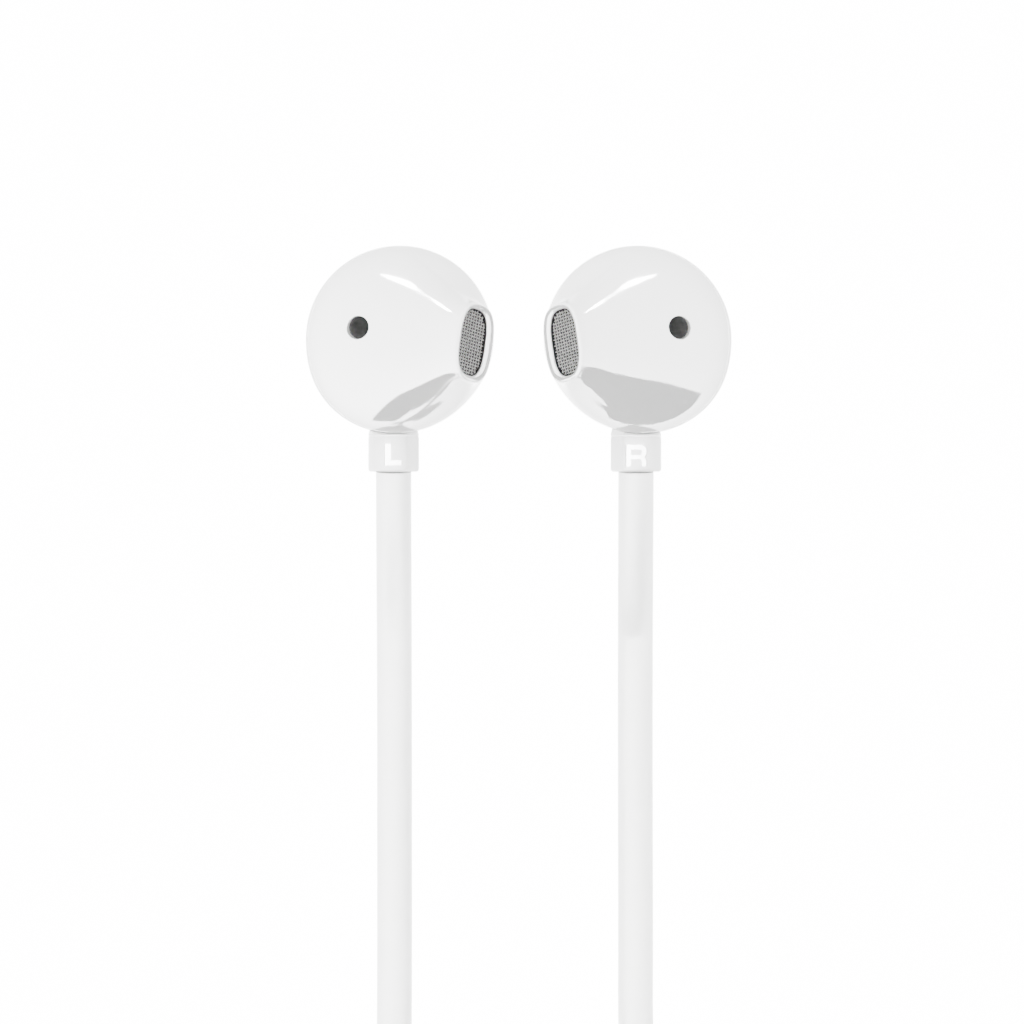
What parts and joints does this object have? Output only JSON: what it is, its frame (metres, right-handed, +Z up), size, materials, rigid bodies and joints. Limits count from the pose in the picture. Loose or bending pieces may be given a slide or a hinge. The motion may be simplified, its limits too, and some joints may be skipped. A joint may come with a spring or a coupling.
{
  "type": "neckband earphones",
  "caption": "White half-in-ear neckband earphones: glossy round buds with oblong mesh nozzles on thick silicone leads, neck lead and two pods folded in a flat hank.",
  "frame": {"origin": "on the surface the set lies on, in the middle of the base of everything that isn't cord (buds and pods)", "axes": "+X from the left ear's bud to the right ear's, +Y from the folded hank up to the buds' crowns, +Z up, out of the buds' faces"},
  "size_m": [0.0486, 0.176, 0.0146],
  "materials": {
    "gloss_shell": "high-gloss white ABS, injection moulded in a polished tool",
    "satin_case": "satin white ABS, fine spark-eroded texture",
    "white_silicone": "smooth matt white silicone rubber",
    "soft_key": "pale grey silicone keypad rubber, matt",
    "wire_mesh": "woven stainless-steel wire cloth",
    "dark_mesh": "dark grey woven damping mesh",
    "damping_foam": "black open-cell damping foam",
    "driver_frame": "black glass-filled nylon",
    "plated_steel": "nickel-plated pressed steel",
    "nickel_magnet": "nickel-coated sintered magnet",
    "coil_copper": "enamelled copper wire, wound and bonded",
    "cone_film": "thermoformed polyester film",
    "cell_foil": "aluminium-laminate pouch foil",
    "circuit_board": "green solder mask on glass epoxy",
    "light_pipe": "milky polycarbonate light pipe"
  },
  "bodies": {
    "headset": {"front_shell_l": "gloss_shell", "rear_shell_l": "gloss_shell", "nozzle_grille_l": "wire_mesh", "nozzle_damper_l": "damping_foam", "vent_mesh_l": "dark_mesh", "driver_basket_l": "driver_frame", "driver_yoke_l": "plated_steel", "driver_magnet_l": "nickel_magnet", "driver_top_plate_l": "plated_steel", "lead_anchor_l": "white_silicone", "collar_l": "white_silicone", "ear_lead_l": "white_silicone", "front_shell_r": "gloss_shell", "rear_shell_r": "gloss_shell", "nozzle_grille_r": "wire_mesh", "nozzle_damper_r": "damping_foam", "vent_mesh_r": "dark_mesh", "driver_basket_r": "driver_frame", "driver_yoke_r": "plated_steel", "driver_magnet_r": "nickel_magnet", "driver_top_plate_r": "plated_steel", "lead_anchor_r": "white_silicone", "collar_r": "white_silicone", "ear_lead_r": "white_silicone", "lead_hank": "white_silicone", "tie_left": "white_silicone", "tie_right": "white_silicone", "battery_housing_top": "satin_case", "battery_housing_bottom": "satin_case", "battery_boot_upper": "white_silicone", "battery_boot_lower": "white_silicone", "control_housing_top": "satin_case", "control_housing_bottom": "satin_case", "control_boot_upper": "white_silicone", "control_boot_lower": "white_silicone", "battery_cell": "cell_foil", "protection_board": "circuit_board", "main_board": "circuit_board", "radio_shield": "plated_steel", "microphone": "plated_steel", "status_lens": "light_pipe", "usb_socket": "plated_steel", "switch_volume_up": "plated_steel", "switch_play": "plated_steel", "switch_volume_down": "plated_steel"},
    "volume_up_key": {"key_volume_up": "soft_key"},
    "play_key": {"key_play": "soft_key"},
    "volume_down_key": {"key_volume_down": "soft_key"},
    "cone_l": {"diaphragm_l": "cone_film", "voice_coil_l": "coil_copper"},
    "cone_r": {"diaphragm_r": "cone_film", "voice_coil_r": "coil_copper"}
  },
  "joints": [
    {"name": "volume_up_press", "type": "slide", "parent": "headset", "child": "volume_up_key", "axis": [0, 0, -1], "range_m": [0, 0.0003], "stiffness_N_per_m": 800},
    {"name": "play_press", "type": "slide", "parent": "headset", "child": "play_key", "axis": [0, 0, -1], "range_m": [0, 0.0003], "stiffness_N_per_m": 800},
    {"name": "volume_down_press", "type": "slide", "parent": "headset", "child": "volume_down_key", "axis": [0, 0, -1], "range_m": [0, 0.0003], "stiffness_N_per_m": 800},
    {"name": "cone_l_stroke", "type": "slide", "parent": "headset", "child": "cone_l", "axis": [0, 0, 1], "range_m": [-0.00015, 0.00015], "stiffness_N_per_m": 80},
    {"name": "cone_r_stroke", "type": "slide", "parent": "headset", "child": "cone_r", "axis": [0, 0, 1], "range_m": [-0.00015, 0.00015], "stiffness_N_per_m": 80}
  ]
}
